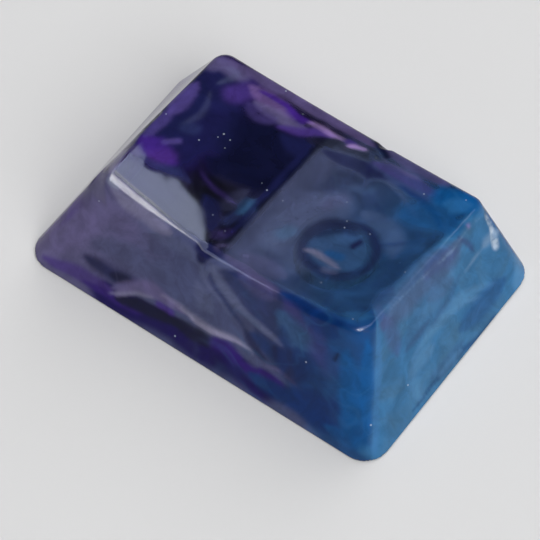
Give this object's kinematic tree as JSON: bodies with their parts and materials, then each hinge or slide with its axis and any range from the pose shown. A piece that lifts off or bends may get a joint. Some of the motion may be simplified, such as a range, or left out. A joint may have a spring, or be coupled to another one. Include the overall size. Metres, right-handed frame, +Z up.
{
  "type": "keycap",
  "caption": "Cast resin keycap, wider than a letter key, with a dished sloping top, leaning walls, a hollow underside and an off-centre stem post with a cross socket.",
  "frame": {"origin": "middle of the base, on the plane of the rim", "axes": "+X along the length towards the stem's end, +Y from the typist's side to the back, +Z up"},
  "size_m": [0.0276, 0.0182, 0.0072],
  "materials": {
    "resin": "polished cast resin, marbled from violet at the left end to blue at the right end"
  },
  "bodies": {
    "root": {"keycap": "resin"}
  },
  "joints": []
}
